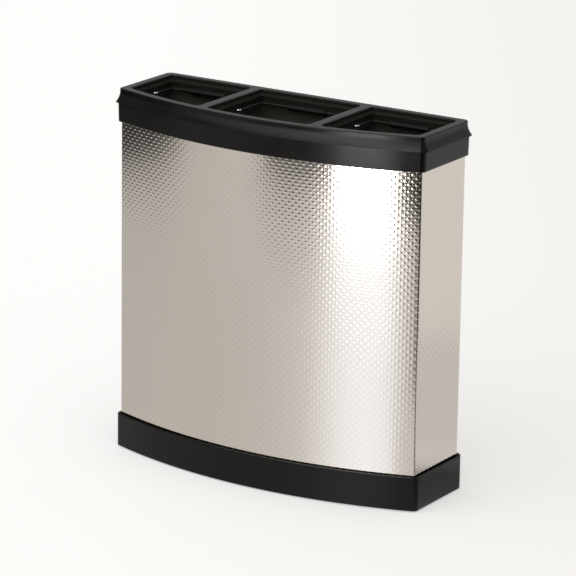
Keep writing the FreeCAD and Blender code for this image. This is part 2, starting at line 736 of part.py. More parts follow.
def wire_bail(side):
    """Bent wire handle lying back on the ledges: pin, arm, cross wire, arm, pin."""
    body = new_body(f"bail_{side}")
    left, right, _ = COMPARTMENTS[side]
    setback = "(Sizes.bucketClearance + Sizes.pinSetback)"
    pin_left, pin_right = f"({left} + {setback})", f"({right} - {setback})"
    arm_left, arm_right = f"({left} + {armInset})", f"({right} - {armInset})"
    pivot = pivot_place(side)
    cross = f"({pivot} + {bail_reach(side)})"

    x0, x1, x2, x3 = [value(text) for text in (pin_left, arm_left, arm_right, pin_right)]
    y0, y1 = value(pivot), value(cross)
    small, large = value("Sizes.pinBend"), value("Sizes.bailBend")
    quarter = math.pi / 2
    path = sketch_on(body, f"{side}_wire_path", "XY_Plane", pivotHeight)
    path.addGeometry([
        line((x0, y0), (x1 - small, y0)),
        arc(x1 - small, y0 + small, small, 3 * quarter, 4 * quarter),
        line((x1, y0 + small), (x1, y1 - large)),
        arc(x1 + large, y1 - large, large, quarter, 2 * quarter),
        line((x1 + large, y1), (x2 - large, y1)),
        arc(x2 - large, y1 - large, large, 0, quarter),
        line((x2, y1 - large), (x2, y0 + small)),
        arc(x2 + small, y0 + small, small, 2 * quarter, 3 * quarter),
        line((x2 + small, y0), (x3, y0)),
    ], False)
    # An arc's first point is its end with the smaller angle, so each joint names its two ends.
    joints = [(0, 2, 1, 1), (1, 2, 2, 1), (2, 2, 3, 2), (3, 1, 4, 1),
              (4, 2, 5, 2), (5, 1, 6, 1), (6, 2, 7, 1), (7, 2, 8, 1)]
    for joint in joints:
        path.addConstraint(Sketcher.Constraint("Tangent", *joint))
    for geometry in (0, 4, 8):
        path.addConstraint(Sketcher.Constraint("Horizontal", geometry))
    for geometry in (2, 6):
        path.addConstraint(Sketcher.Constraint("Vertical", geometry))
    for geometry, radius in ((1, "Sizes.pinBend"), (7, "Sizes.pinBend"),
                             (3, "Sizes.bailBend"), (5, "Sizes.bailBend")):
        bind(path, "Radius", (geometry,), radius)
    bind(path, "DistanceX", (-1, 1, 0, 1), pin_left)
    bind(path, "DistanceY", (-1, 1, 0, 1), pivot)
    bind(path, "DistanceX", (-1, 1, 8, 2), pin_right)
    bind(path, "DistanceY", (-1, 1, 8, 2), pivot)
    bind(path, "DistanceX", (-1, 1, 2, 1), arm_left)
    bind(path, "DistanceX", (-1, 1, 6, 1), arm_right)
    bind(path, "DistanceY", (-1, 1, 4, 1), cross)

    section = sketch_on(body, f"{side}_wire_section", "YZ_Plane", pin_left)
    draw_circles(section, [(pivot, pivotHeight)], "Sizes.wireRadius")
    wire = body.newObject("PartDesign::AdditivePipe", f"{side}_wire")
    wire.Profile = section
    wire.Spine = (path, [""])
    doc.recompute()
    return body


def bail_grip(side):
    """Plastic sleeve on the middle of the cross wire."""
    body = new_body(f"grip_{side}")
    left, right, _ = COMPARTMENTS[side]
    cross = f"({pivot_place(side)} + {bail_reach(side)})"
    section = sketch_on(body, f"{side}_grip_section", "YZ_Plane",
                        f"({left} + {right}) / 2 - Sizes.gripLength / 2")
    for radius in ("Sizes.wireRadius", "Sizes.gripRadius"):
        draw_circles(section, [(cross, pivotHeight)], radius)
    pad(body, f"{side}_grip_sleeve", section, "Sizes.gripLength")
    outer = value("Sizes.gripRadius")
    round_edges(body, f"{side}_grip_round", "Sizes.gripRound",
                lambda edge: hasattr(edge.Curve, "Radius") and abs(edge.Curve.Radius - outer) < nearEnough)
    return body


def build():
    """Makes every piece of the bin, from the ground up."""
    pieces = [base_tray()]
    pieces += [rubber_foot(corner) for corner in FOOT_PLACES]
    pieces += [steel_jacket(), rear_panel(), rear_rivets()]
    pieces += [tie_rod(corner) for corner in ROD_PLACES]
    pieces.append(nuts("lower_nuts", "Sizes.footStand + Sizes.nutRecess - Sizes.nutHeight"))
    pieces.append(nuts("upper_nuts", crownFoot))
    pieces += [collar_ring(), crown_frame()]
    for side in COMPARTMENTS:
        pieces += [liner_bucket(side), wire_bail(side), bail_grip(side)]
    return pieces


pieces = build()
doc.recompute()
for item in doc.Objects:
    if "Invalid" in item.State or "Error" in item.State:
        raise RuntimeError(f"{item.Name} failed: {item.State}")
for piece in pieces:
    if piece.Shape.isNull() or not piece.Shape.isValid():
        raise RuntimeError(f"{piece.Label} has no valid shape")

os.makedirs("parts", exist_ok=True)
for piece in pieces:
    piece.Shape.exportStep(f"parts/{piece.Label}.step")
    print(f"{piece.Label}: {len(piece.Shape.Solids)} solid(s), {piece.Shape.Volume:.0f} mm3")
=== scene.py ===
import json
import math
import bpy
import numpy as np
from mathutils import Matrix, Vector


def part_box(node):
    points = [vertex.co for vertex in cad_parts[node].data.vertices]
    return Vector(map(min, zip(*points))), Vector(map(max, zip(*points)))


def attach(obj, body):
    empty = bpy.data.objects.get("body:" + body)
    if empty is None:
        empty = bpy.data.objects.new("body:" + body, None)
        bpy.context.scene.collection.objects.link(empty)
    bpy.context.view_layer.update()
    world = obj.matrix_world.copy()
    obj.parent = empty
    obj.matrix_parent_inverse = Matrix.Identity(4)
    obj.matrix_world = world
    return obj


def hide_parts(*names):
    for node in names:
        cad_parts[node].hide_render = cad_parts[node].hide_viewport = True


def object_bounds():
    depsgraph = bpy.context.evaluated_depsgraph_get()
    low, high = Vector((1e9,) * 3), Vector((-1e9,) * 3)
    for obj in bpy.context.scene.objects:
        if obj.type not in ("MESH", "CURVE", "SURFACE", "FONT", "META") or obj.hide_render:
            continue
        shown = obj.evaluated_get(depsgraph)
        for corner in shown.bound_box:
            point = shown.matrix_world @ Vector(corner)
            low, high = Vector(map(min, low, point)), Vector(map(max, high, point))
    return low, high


# Litter bin with three openings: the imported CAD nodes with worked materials, and the embossed jacket
# and rear panel made again as fine surfaces that carry their own pattern coordinates.

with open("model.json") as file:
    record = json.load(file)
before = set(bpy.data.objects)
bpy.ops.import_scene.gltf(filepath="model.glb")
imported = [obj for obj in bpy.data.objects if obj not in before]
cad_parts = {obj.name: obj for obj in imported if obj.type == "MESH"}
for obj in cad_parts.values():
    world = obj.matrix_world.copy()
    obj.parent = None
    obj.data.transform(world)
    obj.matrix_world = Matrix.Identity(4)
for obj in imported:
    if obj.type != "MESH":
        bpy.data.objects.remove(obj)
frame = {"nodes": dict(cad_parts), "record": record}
cadLow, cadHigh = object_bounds()
nodes = frame["nodes"]
print("frame loaded:", len(nodes), "nodes")


def newMaterial(name):
    # an empty node material
    material = bpy.data.materials.new(name)
    material.use_nodes = True
    material.node_tree.nodes.clear()
    return material


def setInput(tree, socket, value):
    # a value is written on the socket, another node's socket is linked to it
    if isinstance(value, bpy.types.NodeSocket):
        tree.links.new(value, socket)
    else:
        socket.default_value = value


def addNode(tree, kind, inputs=None, **settings):
    # one node, with its settings, and its inputs given as values or as other nodes' sockets
    node = tree.nodes.new(kind)
    for key, value in settings.items():
        setattr(node, key, value)
    for key, value in (inputs or {}).items():
        setInput(tree, node.inputs[key], value)
    return node


def doMath(tree, operation, *values, clamp=False):
    # one sum; clamp holds its result between nothing and one
    node = addNode(tree, "ShaderNodeMath", dict(enumerate(values)), operation=operation, use_clamp=clamp)
    return node.outputs[0]


def mixColors(tree, factor, first, second):
    # first * (1 - factor) + second * factor; sockets 0, 6 and 7 are the factor and the two colours
    node = addNode(tree, "ShaderNodeMix", data_type="RGBA")
    for number, value in ((0, factor), (6, first), (7, second)):
        setInput(tree, node.inputs[number], value)
    return node.outputs[2]


def remap(tree, value, low, high, newLow, newHigh):
    # straight-line change of range, held at both ends
    inputs = {0: value, 1: low, 2: high, 3: newLow, 4: newHigh}
    return addNode(tree, "ShaderNodeMapRange", inputs, clamp=True).outputs[0]


def easedShare(tree, value, span):
    # from nothing at the span's start to one at its end, easing in and out
    inputs = {0: value, 1: span[0], 2: span[1]}
    return addNode(tree, "ShaderNodeMapRange", inputs, interpolation_type="SMOOTHSTEP").outputs[0]


def noise(tree, vector, scale, detail=2.0, roughness=0.5):
    # cloudy noise between nothing and one, with about "scale" clouds to the metre
    inputs = {"Vector": vector, "Scale": scale, "Detail": detail, "Roughness": roughness}
    return addNode(tree, "ShaderNodeTexNoise", inputs).outputs["Fac"]


def stretched(tree, vector, scale):
    # each coordinate times its own factor, so a large factor makes a pattern fine in that direction
    return addNode(tree, "ShaderNodeMapping", {"Vector": vector, "Scale": scale}).outputs["Vector"]


def objectPlace(tree):
    # the point's place in metres, in the bin's own frame
    return addNode(tree, "ShaderNodeTexCoord").outputs["Object"]


def splitAxes(tree, vector):
    # the three coordinates one by one
    return addNode(tree, "ShaderNodeSeparateXYZ", {0: vector}).outputs


def bump(tree, height, distance):
    # relief of the given height in metres where the pattern is one
    return addNode(tree, "ShaderNodeBump", {"Height": height, "Distance": distance}).outputs["Normal"]


def finishSurface(tree, **inputs):
    # the shader and the output, with spaces in the socket names written as underscores
    named = {key.replace("_", " "): value for key, value in inputs.items()}
    shader = addNode(tree, "ShaderNodeBsdfPrincipled", named)
    addNode(tree, "ShaderNodeOutputMaterial", {"Surface": shader.outputs[0]})


noiseSpan = (0.3, 0.7)            # nearly all of a cloudy noise lies between these

moulding = {
    "darkColor": (0.0042, 0.0039, 0.0028, 1),
    "paleColor": (0.0062, 0.0057, 0.0044, 1),
    "sheen": 0.12,                # specular level: low, the moulding is a dull black
    "satin": (0.17, 0.25),        # roughness of polished and of dull patches
    "scuffSize": 0.03,            # metres from patch to patch
    "grainSize": 0.0006,          # and from grain to grain
    "grainDepth": 0.000006,
    "rubScale": 45.0,             # rubbed marks to the metre, shorter in height by the stretch
    "rubStretch": (1.0, 1.0, 6.0),
    "rubRange": (0.56, 0.72),     # noise at which a rub begins and is complete
    "rubDulling": 0.07,           # added roughness in a rub
    "paintedLightColor": (0.100, 0.096, 0.080, 1),    # painted light that makes the inner sides of the openings paler
    "paintedLightTop": cadHigh.z - 0.002,             # no painted light from here up; zero keeps a piece free of it
    "paintedLightDepth": 0.01,            # over this much below its top the painted light comes in
}

# the liners' inner walls take the same painted light, paler and further down
liner = dict(moulding, darkColor=(0.0075, 0.0072, 0.0060, 1), paleColor=(0.0105, 0.0100, 0.0085, 1),
             sheen=0.08, satin=(0.55, 0.68), scuffSize=0.05, grainSize=0.0009, grainDepth=0.00002,
             paintedLightColor=(0.140, 0.134, 0.112, 1), paintedLightTop=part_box("bucket_left")[1].z - 0.003,
             paintedLightDepth=0.06)
gripPlastic = dict(moulding, satin=(0.40, 0.50), scuffSize=0.01, grainSize=0.0004, paintedLightTop=0.0)
footRubber = dict(moulding, darkColor=(0.012, 0.012, 0.012, 1), paleColor=(0.022, 0.021, 0.020, 1),
                  satin=(0.75, 0.88), scuffSize=0.008, grainSize=0.0005, grainDepth=0.00003, paintedLightTop=0.0)

leastInwards = 0.01               # metres; a wall that faces its compartment's middle has more than this


def facesInwards(tree, place):
    # one on walls that face the middle of their own compartment, nothing elsewhere: the step from the
    # point to that middle, measured along the wall's outward direction, has to be long enough
    middleBox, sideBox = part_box("bucket_middle"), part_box("bucket_right")
    divider = (middleBox[1].x + sideBox[0].x) / 2
    sideMiddle = (sideBox[0] + sideBox[1]) / 2
    axes = splitAxes(tree, place)
    facing = splitAxes(tree, addNode(tree, "ShaderNodeNewGeometry").outputs["Normal"])
    inSide = doMath(tree, "GREATER_THAN", doMath(tree, "ABSOLUTE", axes[0]), divider)
    middle = doMath(tree, "MULTIPLY", inSide, doMath(tree, "SIGN", axes[0]))
    middle = doMath(tree, "MULTIPLY", middle, sideMiddle.x)
    across = doMath(tree, "MULTIPLY", doMath(tree, "SUBTRACT", middle, axes[0]), facing[0])
    along = doMath(tree, "MULTIPLY", doMath(tree, "SUBTRACT", sideMiddle.y, axes[1]), facing[1])
    return doMath(tree, "GREATER_THAN", doMath(tree, "ADD", across, along), leastInwards)


def mouldedPlastic(name, look):
    # black polypropylene: a fine spark-eroded grain, broad dull patches, a few rubbed marks, and painted
    # light that makes the inner walls of the openings paler
    material = newMaterial(name)
    tree = material.node_tree
    place = objectPlace(tree)
    patches = noise(tree, place, 1 / look["scuffSize"], detail=4.0, roughness=0.6)
    rubs = stretched(tree, place, look["rubStretch"])
    rubs = noise(tree, rubs, look["rubScale"], detail=5.0, roughness=0.65)
    rubs = remap(tree, rubs, *look["rubRange"], 0.0, 1.0)
    grain = noise(tree, place, 1 / look["grainSize"])
    color = mixColors(tree, patches, look["darkColor"], look["paleColor"])
    # painted light: walls facing their compartment's middle are made paler below their top
    paintedLightFoot = look["paintedLightTop"] - look["paintedLightDepth"]
    below = remap(tree, splitAxes(tree, place)[2], paintedLightFoot, look["paintedLightTop"], 1.0, 0.0)
    paintedLightShare = doMath(tree, "MULTIPLY", facesInwards(tree, place), below)
    color = mixColors(tree, paintedLightShare, color, look["paintedLightColor"])
    dull = remap(tree, patches, *noiseSpan, *look["satin"])
    dull = doMath(tree, "ADD", dull, doMath(tree, "MULTIPLY", rubs, look["rubDulling"]))
    finishSurface(tree, Base_Color=color, Roughness=dull, Specular_IOR_Level=look["sheen"],
                  Normal=bump(tree, grain, look["grainDepth"]))
    return material


emboss = {
    "acrossRepeat": 0.0118,       # metres between two bosses in a row; the next row is set off by half
    "upRepeat": 0.0108,           # from a row to the next but one
    "boss": (0.0034, 0.0027),     # half width and half height of a boss
    "tick": (0.0011, 0.0019),     # and of the small upright mark between two bosses
    "tickShare": 0.28,            # its height against the boss's
    "depth": 0.000112,            # metres a boss stands out
    "color": (0.500, 0.455, 0.405, 1),
    # painted shade: the flats between the bosses are darker, as if shaded by them
    "paintedShadeColor": (0.455, 0.412, 0.365, 1),
    "paintedShadeTop": 0.7,               # height, as a share of a boss, at which the painted shade on the flats is gone
    "paintedShadeShare": 0.75,            # how much of that painted shade the flats take
    "polish": (0.09, 0.12),       # roughness of clean and of smeared metal
    "smearScale": 9.0,            # smears to the metre, longer in height by the stretch
    "smearStretch": (1.0, 1.0, 0.35),
    "smearRange": (0.35, 0.75),   # noise at which a smear begins to stain and does so fully
    "smearShare": 0.25,
    "rollLines": (2600.0, 40.0, 1.0),         # rolling lines to the metre, across and up
    "rollDulling": 0.02,
    "rollDepth": 0.000004,
}


def emblem(tree, across, up, size):
    # (1 - (across / half width)^2 - (up / half height)^2)^2, and nothing outside that oval
    left = 1.0
    for length, half in zip((across, up), size):
        share = doMath(tree, "DIVIDE", length, half)
        left = doMath(tree, "SUBTRACT", left, doMath(tree, "MULTIPLY", share, share), clamp=True)
    return doMath(tree, "MULTIPLY", left, left)


def weaveHeight(tree, across, up):
    # staggered oval bosses, with a small upright mark midway between each two of a row
    near, far = [], []            # distances from whole repeats and from half repeats
    for length, repeat in ((across, emboss["acrossRepeat"]), (up, emboss["upRepeat"])):
        near.append(doMath(tree, "PINGPONG", length, repeat / 2))
        far.append(doMath(tree, "SUBTRACT", repeat / 2, near[-1]))
    bosses = [emblem(tree, *place, emboss["boss"]) for place in (near, far)]
    ticks = [emblem(tree, *place, emboss["tick"]) for place in ((near[0], far[1]), (far[0], near[1]))]
    ticks = doMath(tree, "MULTIPLY", doMath(tree, "ADD", *ticks), emboss["tickShare"])
    return doMath(tree, "ADD", doMath(tree, "ADD", *bosses), ticks)


def embossedSteel(name):
    # bright rolled stainless with a woven emboss that follows the sheet's own coordinates
    material = newMaterial(name)
    tree = material.node_tree
    sheetPlace = addNode(tree, "ShaderNodeUVMap", uv_map="sheet").outputs["UV"]
    weave = weaveHeight(tree, *splitAxes(tree, sheetPlace)[:2])
    smears = stretched(tree, objectPlace(tree), emboss["smearStretch"])
    smears = noise(tree, smears, emboss["smearScale"], detail=4.0, roughness=0.6)
    rolling = noise(tree, stretched(tree, sheetPlace, emboss["rollLines"]), 1.0)
    # painted shade on the low flats, plus the smears' real stain
    stain = doMath(tree, "ADD", remap(tree, weave, 0.0, emboss["paintedShadeTop"], emboss["paintedShadeShare"], 0.0),
                   remap(tree, smears, *emboss["smearRange"], 0.0, emboss["smearShare"]))
    color = mixColors(tree, stain, emboss["color"], emboss["paintedShadeColor"])
    polish = remap(tree, smears, *noiseSpan, *emboss["polish"])
    lines = remap(tree, rolling, *noiseSpan, -emboss["rollDulling"], emboss["rollDulling"])
    polish = doMath(tree, "ADD", polish, lines)
    rolled = bump(tree, rolling, emboss["rollDepth"])
    relief = {"Height": weave, "Distance": emboss["depth"], "Normal": rolled}
    embossed = addNode(tree, "ShaderNodeBump", relief).outputs["Normal"]
    finishSurface(tree, Base_Color=color, Metallic=1.0, Roughness=polish, Normal=embossed)
    return material


rivet = {
    "color": (0.78, 0.78, 0.79, 1),
    "stain": (0.66, 0.66, 0.67, 1),
    "polish": (0.28, 0.40),       # roughness of bright and of blotched metal
    "streaks": (900.0, 900.0, 900.0),         # to the metre, by axis
    "streakDulling": 0.05,
    "streakDepth": 0.00001,
    "blotches": 160.0,            # to the metre
    "stainRange": (0.4, 0.7),     # noise at which a blotch begins to stain and does so fully
}
zinc = dict(rivet, color=(0.62, 0.62, 0.60, 1), stain=(0.60, 0.55, 0.42, 1), polish=(0.26, 0.42),
            streaks=(400.0, 400.0, 2500.0))


def plainMetal(name, look):
    # small metal pieces: fine streaks from drawing or turning, and blotches of a second tint
    material = newMaterial(name)
    tree = material.node_tree
    place = objectPlace(tree)
    blotches = noise(tree, place, look["blotches"], detail=4.0, roughness=0.6)
    streaks = noise(tree, stretched(tree, place, look["streaks"]), 1.0)
    stained = remap(tree, blotches, *look["stainRange"], 0.0, 1.0)
    tint = mixColors(tree, stained, look["color"], look["stain"])
    dull = doMath(tree, "ADD", remap(tree, blotches, *noiseSpan, *look["polish"]),
                  remap(tree, streaks, *noiseSpan, -look["streakDulling"], look["streakDulling"]))
    finishSurface(tree, Base_Color=tint, Metallic=1.0, Roughness=dull,
                  Normal=bump(tree, streaks, look["streakDepth"]))
    return material


wire = {
    "lacquer": (0.012, 0.0115, 0.0105, 1),
    "bare": (0.62, 0.61, 0.60, 1),
    "polish": (0.42, 0.22),       # roughness of the lacquer and of the bare steel
    "sheen": 0.15,
    "lacquerDepth": 0.00003,
    "bareFrom": (0.0042, 0.007),  # metres behind a bail's front, from fully bare to fully lacquered
    "scratches": (90.0, 500.0, 900.0),        # to the metre, by axis
    "scratchRange": (0.70, 0.74),             # noise at which a scratch begins and is through
    "clearance": 0.002,           # room beside the middle bail when telling it from the outer two
}


def lacqueredWire(name):
    # black lacquer, worn through to bright drawn steel round the pivots and in a few thin scratches
    material = newMaterial(name)
    tree = material.node_tree
    place = objectPlace(tree)
    x, y = splitAxes(tree, place)[:2]
    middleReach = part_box("bail_middle")[1].x + wire["clearance"]
    inMiddle = doMath(tree, "LESS_THAN", doMath(tree, "ABSOLUTE", x), middleReach)
    front = remap(tree, inMiddle, 0.0, 1.0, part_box("bail_left")[0].y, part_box("bail_middle")[0].y)
    nearPivot = remap(tree, doMath(tree, "SUBTRACT", y, front), *wire["bareFrom"], 1.0, 0.0)
    scratches = noise(tree, stretched(tree, place, wire["scratches"]), 1.0, detail=3.0, roughness=0.6)
    scratches = remap(tree, scratches, *wire["scratchRange"], 0.0, 1.0)
    worn = doMath(tree, "MAXIMUM", nearPivot, scratches)
    color = mixColors(tree, worn, wire["lacquer"], wire["bare"])
    dull = remap(tree, worn, 0.0, 1.0, *wire["polish"])
    finishSurface(tree, Base_Color=color, Metallic=worn, Roughness=dull, Specular_IOR_Level=wire["sheen"],
                  Normal=bump(tree, worn, -wire["lacquerDepth"]))
    return material


finishes = {
    "black_moulding": mouldedPlastic("blackMoulding", moulding),
    "liner_plastic": mouldedPlastic("linerPlastic", liner),
    "grip_plastic": mouldedPlastic("gripPlastic", gripPlastic),
    "foot_rubber": mouldedPlastic("footRubber", footRubber),
    "embossed_steel": embossedSteel("embossedSteel"),
    "rivet_aluminium": plainMetal("rivetAluminium", rivet),
    "zinc_fastener": plainMetal("zincPlate", zinc),
    "bail_wire": lacqueredWire("bailWire"),
}
print("materials made:", len(finishes))

# every node takes the finish that its material slot names
for row in frame["record"]["subparts"]:
    mesh = nodes[row["node"]].data
    mesh.materials.clear()
    mesh.materials.append(finishes[row["material_slot"]])


jacket = {
    "bow": 0.052,                 # how far the base's front stands out from its corners
    "inset": 0.006,               # outside of the sheet, inside the base's outline
    "thickness": 0.0008,
    "flange": 0.030,              # metres turned in along each back edge
    "frontCorner": 0.004,         # outside bend radii
    "backCorner": 0.008,
    "bowSteps": 150,
    "bendSteps": 14,
    "sideSteps": 12,
    "heightSteps": 40,
}


def arcPoints(centre, radius, start, end, steps):
    # points at equal angles on an arc, without its first one
    turn = np.linspace(start, end, steps + 1)[1:]
    return np.stack([centre[0] + radius * np.cos(turn), centre[1] + radius * np.sin(turn)], 1)


def linePoints(start, end, steps):
    # points at equal distances on a straight line, without its first one
    share = np.linspace(0, 1, steps + 1)[1:, None]
    return np.array(start) * (1 - share) + np.array(end) * share


def jacketPath(inset):
    # the sheet's plan, from the left flange's edge round the front to the right one: two short backs,
    # two sides, one bowed front and four bend arcs, each parallel to the base's outline
    low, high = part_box("base_tray")
    half, back = high.x, high.y
    bowRadius = (half ** 2 + jacket["bow"] ** 2) / (2 * jacket["bow"])
    bowCentre = low.y + bowRadius
    x, y = half - inset, back - inset
    radius = bowRadius - inset
    grow = jacket["inset"] - inset
    rear, front = jacket["backCorner"] + grow, jacket["frontCorner"] + grow
    frontX = x - front
    frontY = bowCentre - math.sqrt((radius - front) ** 2 - frontX ** 2)
    swing = math.atan2(frontX, bowCentre - frontY)
    edge = half - jacket["inset"] - jacket["flange"]
    quarter = math.pi / 2
    left = [
        np.array([[-edge, y]]),
        linePoints((-edge, y), (-x + rear, y), jacket["sideSteps"]),
        arcPoints((-x + rear, y - rear), rear, quarter, 2 * quarter, jacket["bendSteps"]),
        linePoints((-x, y - rear), (-x, frontY), jacket["sideSteps"]),
        arcPoints((-frontX, frontY), front, 2 * quarter, 3 * quarter - swing, jacket["bendSteps"]),
    ]
    bowed = arcPoints((0, bowCentre), radius, 3 * quarter - swing, 3 * quarter + swing, jacket["bowSteps"])
    mirrored = np.concatenate(left)[::-1] * (-1, 1)
    return np.concatenate(left + [bowed, mirrored[1:]])


creaseAngle = 40                  # degrees; a sharper turn than this between two walls is not smoothed


def smoothSheet(mesh, wallCount):
    # walls are smooth, the cut edges of the sheet stay sharp
    smooth = np.zeros(len(mesh.polygons), bool)
    smooth[:wallCount] = True
    mesh.polygons.foreach_set("use_smooth", smooth)
    mesh.set_sharp_from_angle(angle=math.radians(creaseAngle))
    mesh.update()


def sheetPiece(name, outer, inner, low, high, steps):
    # a closed strip: the outer line and the inner line back again, carried straight up in equal steps,
    # with both ends and both long edges closed. The pattern's coordinates are metres along and up.
    count = len(outer)
    loop = np.concatenate([outer, inner[::-1]])
    run = np.concatenate([[0], np.cumsum(np.linalg.norm(np.diff(outer, axis=0), axis=1))])
    run = np.concatenate([run, run[::-1]]) - run[-1] / 2
    size = len(loop)
    spots = np.zeros((steps + 1, size, 3))
    spots[:, :, :2] = loop
    spots[:, :, 2] = np.linspace(low, high, steps + 1)[:, None]
    spots = spots.reshape(-1, 3)
    along = np.arange(size)
    after = (along + 1) % size
    rows = np.arange(steps)[:, None] * size
    walls = np.stack([rows + along, rows + after, rows + size + after, rows + size + along], -1)
    walls = walls.reshape(-1, 4)
    near = np.arange(count - 1)
    strip = np.stack([near, size - 1 - near, size - 2 - near, near + 1], 1)
    faces = np.concatenate([walls, strip, strip[:, ::-1] + steps * size])
    mesh = bpy.data.meshes.new(name)
    mesh.from_pydata(spots, [], faces)
    corners = faces.reshape(-1)
    layer = mesh.uv_layers.new(name="sheet")
    uv = np.stack([run[corners % size], spots[corners, 2]], 1)
    layer.data.foreach_set("uv", uv.astype(np.float32).reshape(-1))
    mesh.materials.append(finishes["embossed_steel"])
    smoothSheet(mesh, len(walls))
    piece = bpy.data.objects.new(name, mesh)
    bpy.context.scene.collection.objects.link(piece)
    return piece


def makeJacket():
    # the bent line at the sheet's outside and again one thickness further in, carried up
    low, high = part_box("steel_jacket")
    outer = jacketPath(jacket["inset"])
    inner = jacketPath(jacket["inset"] + jacket["thickness"])
    return sheetPiece("embossedJacket", outer, inner, low.z, high.z, jacket["heightSteps"])


rearPanel = {"acrossSteps": 60, "heightSteps": 40}


def makeRearPanel():
    # a straight line across the back, from right to left, and again one thickness further in
    low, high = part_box("rear_panel")
    across = linePoints((low.x, high.y), (high.x, high.y), rearPanel["acrossSteps"])
    across = np.concatenate([[[low.x, high.y]], across])[::-1]
    inner = across - (0, high.y - low.y)
    return sheetPiece("embossedRearPanel", across, inner, low.z, high.z, rearPanel["heightSteps"])


for piece, node in ((makeJacket(), "steel_jacket"), (makeRearPanel(), "rear_panel")):
    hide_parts(node)
    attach(piece, "bin")
    print("sheet made:", piece.name, "with", len(piece.data.polygons), "faces")


studio = {
    "floorSize": 60.0,
    "paperColor": (0.905, 0.900, 0.893, 1),
    "shadeColor": (0.835, 0.825, 0.812, 1),   # the paper's far right, a little out of the light
    "shadeWay": (0.84, 0.54),     # in plan, the direction in which the paper gets darker
    "shadeSpan": (-0.30, 0.55),   # metres that way over which it does
    "paperGlow": 0.50,            # the paper is lit a little from below, which keeps its shadows faint
    "skyColor": (1.0, 0.985, 0.965, 1),
    "skyLight": 0.30,             # what lights the bin from all round
    "focus": (0.215, 0.28),       # where the reflections in the bowed front seem to come from
    "pool": (-0.38, -0.27),       # middle of the lit part of the paper
    "toEdge": (0.75, 0.95),       # metres from it over which near paper becomes its bright edge
    "toBack": (1.44, 1.62),       # that edge becomes the last strip of paper
    "toFlags": (1.66, 1.84),      # and that strip the dark flags beyond
    "toPlain": (0.13, 0.30),      # Y over which all this gives way to plain paper behind the bin
    "plainLight": (1.06, 1.24),   # light on the plain paper, near and far
    "cooling": 0.15,              # how much bluer the brightest near paper is
}

# What mirror reflections see, as (bearing, brightness): degrees from the front, counted towards +X from
# the focus. First the lit paper near the bin, then its far edge, the strip behind that, and beyond it
# dark flags with a softbox between them; last the panels in the sky, by a ray's direction alone.
nearPaper = [
    (-120, 1.0), (-75, 0.95), (-64, 0.96), (-48, 1.0), (-35, 1.02), (-27, 1.08), (-22, 1.15), (-17, 1.26),
    (-13, 1.52), (-8, 1.82), (-2, 1.91), (4, 1.78), (6.5, 1.3), (9, 1.15), (14, 1.15), (20, 0.75),
    (62, 0.75), (75, 1.0), (180, 1.0)]
edgePaper = [
    (-120, 1.0), (-64, 0.94), (-48, 1.0), (-35, 1.05), (-22, 1.1), (-17, 1.2), (-13, 1.5), (-8.5, 1.9),
    (3, 1.98), (6, 1.5), (9, 1.1), (11.5, 0.4), (14, 0.25), (40, 0.25), (55, 1.18), (180, 1.18)]
backPaper = [
    (-120, 1.0), (-80, 0.85), (-74, 0.72), (-62, 0.78), (-56, 0.92), (-50, 1.0), (-35, 1.05), (-27, 0.95),
    (-22, 0.95), (-15, 1.35), (-11, 1.7), (-9.5, 8.0), (3.5, 8.0), (4.5, 1.5), (8.5, 1.15), (12, 0.75),
    (15, 0.2), (66, 0.2), (76, 0.95), (104, 0.95), (110, 0.2), (122, 1.18), (180, 1.2)]
farFlags = [
    (-120, 0.9), (-83, 0.5), (-79, 0.12), (-74, 0.05), (-60, 0.05), (-56, 0.15), (-50, 0.92), (-37, 1.08),
    (-29.5, 1.02), (-28, 0.06), (-10.5, 0.05), (-9.5, 14.0), (3.5, 14.0), (4.2, 0.08), (8, 0.04),
    (66, 0.04), (76, 0.9), (104, 0.9), (112, 0.04), (126, 0.04), (135, 1.22), (180, 1.25)]
skyPanels = [
    (-120, 0.50), (-75, 0.35), (-55, 0.4), (-42, 1.9), (-25, 3.6), (-14, 5.2), (-10, 7.0), (2, 7.0),
    (7, 2.4), (14, 1.3), (30, 0.8), (45, 0.2), (70, 0.2), (78, 0.8), (104, 0.8), (112, 0.2), (125, 0.2),
    (138, 0.9), (180, 0.9)]
bearingSpan = (-120.0, 180.0)     # what these lists cover, in degrees
brightest = 14.0                  # their highest light
coolRange = 0.9                   # light above one at which a cooled colour is fully cool
coolGreen = 0.4                   # how far its green follows its blue


def bearingTo(tree, across, ahead):
    # degrees from straight ahead, counted towards +X: the angle whose tangent is across / ahead
    return doMath(tree, "MULTIPLY", doMath(tree, "ARCTAN2", across, ahead), 180 / math.pi)


def bearingRamp(tree, bearing, stops, cooling=0.0):
    # light by bearing, straight from stop to stop, written as a share of the brightest. Stops above
    # one get more green and blue, by the cooling times their excess.
    start, end = bearingSpan
    ramp = addNode(tree, "ShaderNodeValToRGB", {0: remap(tree, bearing, start, end, 0.0, 1.0)})
    elements = ramp.color_ramp.elements
    while len(elements) < len(stops):
        elements.new(0.5)
    for element, (angle, light) in zip(elements, stops):
        element.position = (angle - start) / (end - start)
        share = light / brightest
        cool = cooling * min(max((light - 1) / coolRange, 0.0), 1.0)
        element.color = (share, share * (1 + coolGreen * cool), share * (1 + cool), 1)
    return ramp.outputs[0]


def mirrorRay(tree):
    # one for a ray that left the bin as a reflection, nothing for light that has bounced off matt paper
    path = addNode(tree, "ShaderNodeLightPath").outputs
    direct = doMath(tree, "LESS_THAN", path["Diffuse Depth"], 0.5)
    return doMath(tree, "MULTIPLY", path["Is Glossy Ray"], direct)


def distanceTo(tree, place, middle):
    # the root of the sum of the squared steps from the middle
    steps = [doMath(tree, "SUBTRACT", here, there) for here, there in zip(place, middle)]
    squares = [doMath(tree, "MULTIPLY", step, step) for step in steps]
    return doMath(tree, "SQRT", doMath(tree, "ADD", *squares))


